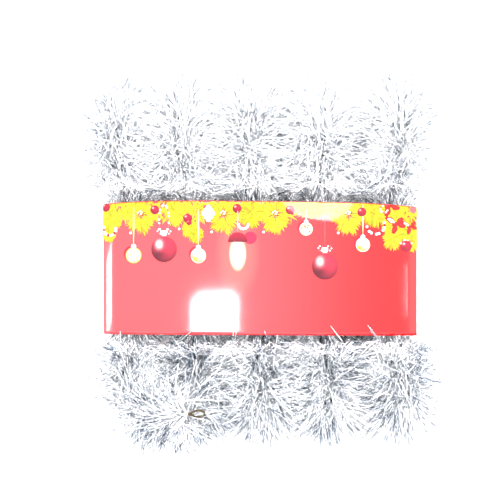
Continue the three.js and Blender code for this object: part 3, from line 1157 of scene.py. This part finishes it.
YELLOW = np.array([0.42, 0.25, 0.001])
LEMON = np.array([0.45, 0.34, 0.010])
OLIVE = np.array([0.165, 0.165, 0.001])
ORANGE = np.array([0.36, 0.13, 0.010])
WHITE = np.array([0.45, 0.44, 0.42])
CRIMSON = np.array([0.150, 0.004, 0.013])
DEEP_RED = np.array([0.045, 0.002, 0.007])
GOLD = np.array([0.33, 0.17, 0.05])
ROSE = np.array([0.34, 0.055, 0.070])
RIBBON_RED = np.array([0.38, 0.008, 0.008])

INK_THICKNESS = 0.03 * MM
GLINT_U, GLINT_V = -0.38, 0.40
TUFT_NEEDLES = 300
PEARL_RADIUS = 0.95 * MM


def needle_template():
    """A printed needle: a thin closed blade along X, pointed at its tip."""
    bm = bmesh.new()
    bmesh.ops.create_cube(bm, size=1)
    bmesh.ops.translate(bm, verts=bm.verts, vec=(0.5, 0, 0))
    whole = bm.verts[:] + bm.edges[:] + bm.faces[:]
    bmesh.ops.bisect_plane(bm, geom=whole, plane_co=(0.5, 0, 0), plane_no=(1, 0, 0))
    for vert in bm.verts:
        if vert.co.x > 0.9:
            vert.co.y *= 0.12
        if vert.co.x < 0.1:
            vert.co.y *= 0.5
    return Template(bm)


def spot_template(segments, rings):
    """A printed spot: a sphere flattened to a film, so its rings carry the shading."""
    bm = bmesh.new()
    bmesh.ops.create_uvsphere(bm, u_segments=segments, v_segments=rings, radius=1)
    return Template(bm)


class Press:
    """Collects printed shapes with their inks, and lays them on the card's face."""

    def __init__(self, settings):
        self.settings = settings
        self.needle = needle_template()
        self.spot = spot_template(20, 10)
        self.bead = spot_template(10, 6)
        self.globe = spot_template(32, 20)
        self.parts = []
        self.inks = []

    def lay(self, template, x, y, height, inks):
        """x and y are n x m arrays of places on the card; inks is n x m x 3."""
        local = template.points[:, 2][None, :] * INK_THICKNESS
        z = front_z(x, y, self.settings) + height + local
        self.parts.append((template, np.stack([x, y, z], axis=-1)))
        self.inks.append(inks.reshape(-1, 3))

    def needles(self, start, angle, length, width, ink, height):
        u = self.needle.points[:, 0][None, :] * length[:, None]
        v = self.needle.points[:, 1][None, :] * width[:, None]
        cos, sin = np.cos(angle)[:, None], np.sin(angle)[:, None]
        x = start[:, 0:1] + u * cos - v * sin
        y = start[:, 1:2] + u * sin + v * cos
        y = np.minimum(y, top_edge(x) - 0.4 * MM)
        x = np.clip(x, PANEL_X - PANEL_HALF, PANEL_X + PANEL_HALF)
        inks = np.repeat(ink[:, None, :], self.needle.points.shape[0], axis=1)
        self.lay(self.needle, x, y, height[:, None], inks)

    def spots(self, centres, radius, shade, height, template=None, aspect=1.0):
        """shade gives an ink for each point of a unit spot."""
        template = template or self.spot
        u, v = template.points[:, 0], template.points[:, 1]
        centres = np.atleast_2d(centres)
        x = centres[:, 0:1] + u[None, :] * radius
        y = centres[:, 1:2] + v[None, :] * radius * aspect
        y = np.minimum(y, top_edge(x) - 0.3 * MM)
        x = np.clip(x, PANEL_X - PANEL_HALF, PANEL_X + PANEL_HALF)
        inks = np.repeat(shade(u, v)[None, :, :], len(centres), axis=0)
        self.lay(template, x, y, height, inks)

    def sleeve_print(self):
        piece = mesh_of_copies("printed_swag", self.parts)
        inks = np.concatenate(self.inks)
        colours = piece.data.attributes.new("ink", "FLOAT_COLOR", "POINT")
        flat = np.column_stack([inks, np.ones(len(inks))]).ravel()
        colours.data.foreach_set("color", flat.astype(np.float32))
        return piece


def plain(ink):
    return lambda u, v: np.repeat(ink[None, :], len(u), axis=0)


def ball(light, dark, glint_size=0.22):
    """Shading of a printed ball: lit from the upper left, dark along its lower rim."""
    def shade(u, v):
        away = np.clip(np.hypot(u - 0.15, v - 0.35) / 1.3, 0, 1)[:, None] ** 1.8
        shadow = np.exp(-(((u + 0.3) / 0.5) ** 2 + ((v + 0.35) / 0.3) ** 2))[:, None] * 0.45
        depth = np.clip(away + shadow, 0, 1)
        ink = light * (1 - depth) + dark * depth
        across, up = (u - GLINT_U) / glint_size, (v - GLINT_V) / (glint_size * 1.3)
        shine = np.exp(-(across**2 + up**2))
        return ink * (1 - shine[:, None]) + WHITE * shine[:, None]
    return shade


def fir_inks(count, rng, olive):
    """Inks of fir needles: lemon and golden, with some olive and a few orange ones."""
    mix = rng.random(count)[:, None]
    ink = YELLOW * (1 - mix) + LEMON * mix
    draw = rng.random(count)[:, None]
    ink = np.where(draw < olive, OLIVE, ink)
    return np.where(draw > 0.96, ORANGE, ink)


def fir_tuft(press, x, y, radius, rng, olive):
    """Needles thrown out all round from a tuft's middle: longest downwards, narrower sideways."""
    amount = TUFT_NEEDLES
    angle = rng.uniform(0, 2 * math.pi, amount)
    down = np.clip(-np.sin(angle), 0, 1)
    reach = radius * (0.74 + 0.26 * down**2) * rng.uniform(0.72, 1.05, amount)
    reach = reach * (1 - 0.12 * (0.5 + 0.5 * np.cos(7 * angle)))
    begin = rng.uniform(0.0, 0.7, amount) * reach
    start = np.column_stack([x + begin * np.cos(angle), y + begin * np.sin(angle)])
    width = rng.uniform(0.6, 1.3, amount) * MM
    height = rng.uniform(0.05, 0.16, amount) * MM
    lean = angle + rng.normal(0, 0.2, amount)
    press.needles(start, lean, reach - begin, width, fir_inks(amount, rng, olive), height)


def fir_run(press, low_x, high_x, top, depth, rng, olive):
    """A run of loose needles under the card's edge, which joins the tufts."""
    amount = int((high_x - low_x) / MM * 7)
    start = np.column_stack([rng.uniform(low_x, high_x, amount), top - rng.uniform(0, depth, amount)])
    angle = -math.pi / 2 + rng.normal(0, 0.8, amount)
    length = rng.uniform(4, 8, amount) * MM
    width = rng.uniform(0.6, 1.3, amount) * MM
    height = rng.uniform(0.03, 0.10, amount) * MM
    press.needles(start, angle, length, width, fir_inks(amount, rng, olive), height)


def flower_heart(press, x, y, rng):
    """White and crimson grains at the middle of a tuft, with thin red stamens."""
    angle = np.linspace(0.3, 2 * math.pi, 9) + rng.normal(0, 0.2, 9)
    start = np.column_stack([x + MM * np.cos(angle), y + MM * np.sin(angle)])
    length = rng.uniform(3, 6, 9) * MM
    inks = np.tile(CRIMSON * 1.4, (9, 1))
    press.needles(start, angle, length, np.full(9, 0.5 * MM), inks, np.full(9, 0.18 * MM))
    for k in range(11):
        turn = 2.4 * k
        reach = 0.75 * math.sqrt(k) * MM
        place = np.array([[x + reach * math.cos(turn), y + 1.2 * reach * math.sin(turn)]])
        press.spots(place, 0.6 * MM, plain((WHITE, ROSE, CRIMSON)[k % 3]), 0.2 * MM, press.bead)


def berry(press, x, y, radius):
    press.spots([[x, y]], radius, ball(CRIMSON * 1.2, CRIMSON * 0.75, glint_size=0.12), 0.18 * MM)


def pearl(press, x, y):
    press.spots([[x, y]], PEARL_RADIUS, ball(WHITE, WHITE * 0.75), 0.2 * MM, press.bead)


def bead_arc(press, x, y, radius, start, stop, beads, second, size):
    """A string of beads in two colours along an arc."""
    for k, angle in enumerate(np.linspace(start, stop, beads)):
        place = [[x + radius * math.cos(angle), y + radius * math.sin(angle)]]
        ink = second if k % 3 == 1 else WHITE
        press.spots(place, size, plain(ink), (0.2 + 0.01 * (k % 2)) * MM, press.bead)


def bead_loop(press, x, y, half_width, half_height, beads=26):
    """A hanging loop of small pearls, with rose ones between them."""
    for k, angle in enumerate(np.linspace(0, 2 * math.pi, beads, endpoint=False)):
        place = [[x + half_width * math.cos(angle), y + half_height * math.sin(angle)]]
        press.spots(place, 0.75 * MM, plain(ROSE if k % 3 == 0 else WHITE), 0.2 * MM, press.bead)


def ribbon(press, x, top, bottom, width, ink):
    start = np.array([[x, top]])
    press.needles(start, np.array([-math.pi / 2]), np.array([top - bottom]), np.array([width]),
                  np.array([ink]), np.array([0.19 * MM]))


def big_bauble(press, x, y, radius):
    """A crimson glass ball with a white cap and a bow of small beads over it."""
    press.spots([[x, y]], radius, ball(CRIMSON * 1.35 + ROSE * 0.12, DEEP_RED), 0.2 * MM, press.globe)
    cap = y + radius + 1.2 * MM
    for row, beads in enumerate((2, 3, 3)):
        for k in range(beads):
            along = (k - (beads - 1) / 2) * 1.5 * MM
            pearl(press, x + along, cap + row * 1.1 * MM)
    for side in (-1, 1):
        bead_arc(press, x + side * 3 * MM, cap + 2.5 * MM, 1.7 * MM, 0, math.pi * 1.6, 6, ROSE, 0.6 * MM)


def small_bauble(press, x, y, radius, string_top, rim, heart):
    """A pale ball in a rim, hung on a ribbon, with its shadow behind it."""
    ribbon(press, x, string_top, y + radius, 1.2 * MM, LEMON * 0.6 + WHITE * 0.4)
    press.spots([[x - 1.3 * MM, y + 1.2 * MM]], radius, plain(CRIMSON * 1.3), 0.17 * MM)
    press.spots([[x, y + radius * 1.1]], radius * 0.34, plain(WHITE), 0.2 * MM, press.bead)
    press.spots([[x, y]], radius, plain(rim), 0.21 * MM, press.globe)
    press.spots([[x, y]], radius * 0.86, heart, 0.245 * MM, press.globe)


def filigree(press, x, y, radius, rng):
    """Small scrolls inside a gold bauble."""
    for k in range(30):
        angle, reach = rng.uniform(0, 2 * math.pi), radius * math.sqrt(rng.uniform(0, 0.6))
        place = [[x + reach * math.cos(angle), y + reach * math.sin(angle)]]
        ink = (CRIMSON * 1.6, ORANGE, GOLD)[k % 3]
        press.spots(place, rng.uniform(0.3, 0.6) * MM, plain(ink), (0.28 + 0.002 * k) * MM, press.bead)


def bell(press, x, y):
    """A white bell that narrows to both its ends."""
    for k, (rise, half) in enumerate(((5, 1.2), (3.5, 2.2), (1.5, 3.6), (-0.5, 4.8), (-3, 3.4), (-5.5, 1.8))):
        press.spots([[x, y + rise * MM]], half * MM, plain(WHITE if k % 2 else WHITE * 0.9 + LEMON * 0.1),
                    (0.17 + 0.006 * k) * MM, aspect=0.62)


def lamp_dome(press, x, y):
    """A dark red shade over the lamp glow: round above, straight below."""
    def shade(u, v):
        low = np.clip(-v * 1.5 + 0.9, 0, 1)[:, None]
        return CRIMSON * (1 - low) + DEEP_RED * 1.4 * low

    dome = bmesh.new()
    bmesh.ops.create_uvsphere(dome, u_segments=24, v_segments=12, radius=1)
    whole = dome.verts[:] + dome.edges[:] + dome.faces[:]
    cut = bmesh.ops.bisect_plane(dome, geom=whole, plane_co=(0, 0, 0), plane_no=(0, -1, 0), clear_outer=True)
    rim = [part for part in cut["geom_cut"] if isinstance(part, bmesh.types.BMEdge)]
    bmesh.ops.contextual_create(dome, geom=rim)
    press.spots([[x, y]], 7.0 * MM, shade, 0.2 * MM, Template(dome))


STRIPED_LOOP = 2.6


def bow(press, x, y, size):
    """Red loops and tails of a ribbon; the loop at the upper left shows its stripes."""
    for angle, length in ((0.75, 5.5), (STRIPED_LOOP, 8), (-0.25, 6), (3.75, 3), (-1.9, 6.5)):
        reach = length * size
        tip = np.array([[x + reach * math.cos(angle), y + reach * math.sin(angle)]])
        back = np.array([angle + math.pi])
        layers = ((1, 1, 3.8, RIBBON_RED, 0.2), (0.8, 0.7, 2.3, WHITE, 0.25), (0.75, 0.6, 0.9, ORANGE, 0.28))
        for out, share, width, ink, height in layers if angle == STRIPED_LOOP else layers[:1]:
            start = tip * out + np.array([[x, y]]) * (1 - out)
            press.needles(start, back, np.array([reach * share]), np.array([width * size]),
                          np.array([ink]), np.array([height * MM]))
    press.spots([[x, y]], 1.3 * size, plain(RIBBON_RED * 0.8), 0.3 * MM, press.bead)


# Places in the print, in millimetres: x from the band's middle and the drop from its top
FIR_RUNS = ((-113, -42, 13, 0.16), (-36, 22, 13, 0.16), (22, 50, 9, 0.05), (50, 112, 13, 0.16))
FIR_TUFTS = (
    (-109, -15, 12, 0.35), (-110, -24, 8, 0.3), (-87, -12, 15, 0.22), (-62, -9, 12, 0.2),
    (-51, -21, 9, 0.5), (-47, -25, 8, 0.6), (-27, -12, 15, 0.22), (-7, -10, 12, 0.4),
    (10, -12, 15, 0.22), (35, -6, 9, 0.0), (62.5, -12, 15.5, 0.15), (81, -10, 12, 0.55),
    (95, -16, 14, 0.4), (94, -28, 10, 0.4), (106, -24, 12, 0.4), (108, -32, 7, 0.5))
FLOWER_HEARTS = (-86.7, -27, 10.2, 62.6)
BERRIES = ((-112, -6, 3.3), (-76.5, -8, 3.3), (-53, -14, 3.3), (-17.5, -7, 3.3), (20.5, -8, 3.3),
           (72, -9.5, 3.3), (-52, -17, 2.0))
PEARLS = ((-94, -24.6), (-59, -21.7), (-35.7, -23.9), (1.5, -23.9), (55, -24.6))
BOWS = ((92, -5, 1.25), (97, -18, 1.15), (107, -20, 0.85))
# Arcs of beads: also the radius, the arc's two ends in half turns, and the beads
BEAD_ARCS = (
    (-109, -22, 4.4, 0.9, 2.05, 10, CRIMSON, 1.05), (-13, -18, 3.6, 1.05, 1.95, 7, WHITE, 1.05),
    (82, -19, 6.4, 1.05, 2.1, 12, CRIMSON, 1.05), (88, -7.5, 2.6, 0.6, 1.9, 7, ROSE, 0.75))


class GARLAND_OT_print(bpy.types.Operator):
    """A swag of golden fir with berries, beads and hanging baubles along the band's top"""
    bl_idname = "garland.print"
    bl_label = "Print"

    def execute(self, context):
        settings = context.scene.garland_band
        rng = np.random.default_rng(settings.seed)
        press = Press(settings)
        top = BAND_Y + BAND_HEIGHT / 2
        self.swag(press, top, rng)
        self.trimmings(press, top, rng)
        self.baubles(press, top, rng)
        piece = press.sleeve_print()
        piece.data.materials.append(ink_material(settings))
        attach(piece, "band")
        return {"FINISHED"}

    def swag(self, press, top, rng):
        for low_x, high_x, depth, olive in FIR_RUNS:
            fir_run(press, low_x * MM, high_x * MM, top, depth * MM, rng, olive)
        for x, drop, radius, olive in FIR_TUFTS:
            fir_tuft(press, x * MM, top + drop * MM, radius * MM, rng, olive)

    def trimmings(self, press, top, rng):
        for x in FLOWER_HEARTS:
            flower_heart(press, x * MM, top - 11 * MM, rng)
        for x, drop, radius in BERRIES:
            berry(press, x * MM, top + drop * MM, radius * MM)
        for x, drop in PEARLS:
            pearl(press, x * MM, top + drop * MM)
        for x, drop, radius, start, stop, beads, second, size in BEAD_ARCS:
            bead_arc(press, x * MM, top + drop * MM, radius * MM, start * math.pi, stop * math.pi,
                     beads, second, size * MM)
        bead_loop(press, -69.9 * MM, top - 15 * MM, 3.6 * MM, 10.5 * MM)
        bell(press, -38 * MM, top - 10 * MM)
        for x, drop, size in BOWS:
            bow(press, x * MM, top + drop * MM, size * MM)
        berry(press, 104 * MM, top - 34 * MM, 4.2 * MM)
        bead_arc(press, 104 * MM, top - 34 * MM, 4.4 * MM, math.pi * 0.15, math.pi * 0.85, 6, ROSE, 0.6 * MM)
        press.spots([[109 * MM, top - 8 * MM]], 2.4 * MM, plain(ROSE), 0.2 * MM)

    def baubles(self, press, top, rng):
        big_bauble(press, -69.9 * MM, top - 36.3 * MM, 9.2 * MM)
        ribbon(press, 45.5 * MM, top - 14 * MM, top - 38 * MM, 0.5 * MM, ROSE)
        big_bauble(press, 45.5 * MM, top - 48.7 * MM, 9.4 * MM)
        gold = LEMON * 0.3 + GOLD * 0.7
        cream = GOLD * 0.35 + WHITE * 0.65
        small_bauble(press, -91.8 * MM, top - 40.6 * MM, 5.7 * MM, top - 6 * MM, gold, plain(cream))
        filigree(press, -91.8 * MM, top - 40.6 * MM, 5.6 * MM, rng)
        pale = LEMON * 0.4 + WHITE * 0.6
        glow = ball(WHITE, LEMON)
        small_bauble(press, -45.2 * MM, top - 40.8 * MM, 5.4 * MM, top - 8 * MM, pale, glow)
        small_bauble(press, 32 * MM, top - 21.7 * MM, 4.7 * MM, top - 8 * MM, pale, plain(cream))
        filigree(press, 32 * MM, top - 21.7 * MM, 4.5 * MM, rng)
        small_bauble(press, 72.8 * MM, top - 33 * MM, 5.1 * MM, top - 4 * MM, pale, glow)
        ribbon(press, LAMP_X, top - 6 * MM, top - 25 * MM, 0.8 * MM, ROSE * 0.5 + WHITE * 0.5)
        press.spots([[LAMP_X + 9 * MM, top - 28 * MM]], 4.5 * MM, plain(CRIMSON * 2.2), 0.12 * MM)
        lamp_dome(press, LAMP_X, top - 31 * MM)


# ---------------------------------------------------------------- panel and making

class GARLAND_PT_panel(bpy.types.Panel):
    """Lists the pieces of the garland"""
    bl_idname = "GARLAND_PT_panel"
    bl_label = "Garland"
    bl_space_type = "VIEW_3D"
    bl_region_type = "UI"
    bl_category = "Garland"

    def draw(self, context):
        for step in STEPS:
            self.layout.operator(step.bl_idname)
        for group in (context.scene.garland, context.scene.garland_band, context.scene.garland_stage):
            box = self.layout.box()
            for name in group.__annotations__:
                box.prop(group, name)


STEPS = (GARLAND_OT_stage, GARLAND_OT_wire, GARLAND_OT_fringe, GARLAND_OT_band, GARLAND_OT_print)
GROUPS = (GarlandSettings, BandSettings, StageSettings)


def register():
    for kind in GROUPS + STEPS + (GARLAND_PT_panel,):
        bpy.utils.register_class(kind)
    bpy.types.Scene.garland = bpy.props.PointerProperty(type=GarlandSettings)
    bpy.types.Scene.garland_band = bpy.props.PointerProperty(type=BandSettings)
    bpy.types.Scene.garland_stage = bpy.props.PointerProperty(type=StageSettings)


def unregister():
    del bpy.types.Scene.garland_stage
    del bpy.types.Scene.garland_band
    del bpy.types.Scene.garland
    for kind in reversed(GROUPS + STEPS + (GARLAND_PT_panel,)):
        bpy.utils.unregister_class(kind)


def main():
    register()
    bpy.ops.garland.stage()
    bpy.ops.garland.wire()
    bpy.ops.garland.fringe()
    bpy.ops.garland.band()
    bpy.ops.garland.print()


if __name__ == "__main__":
    main()
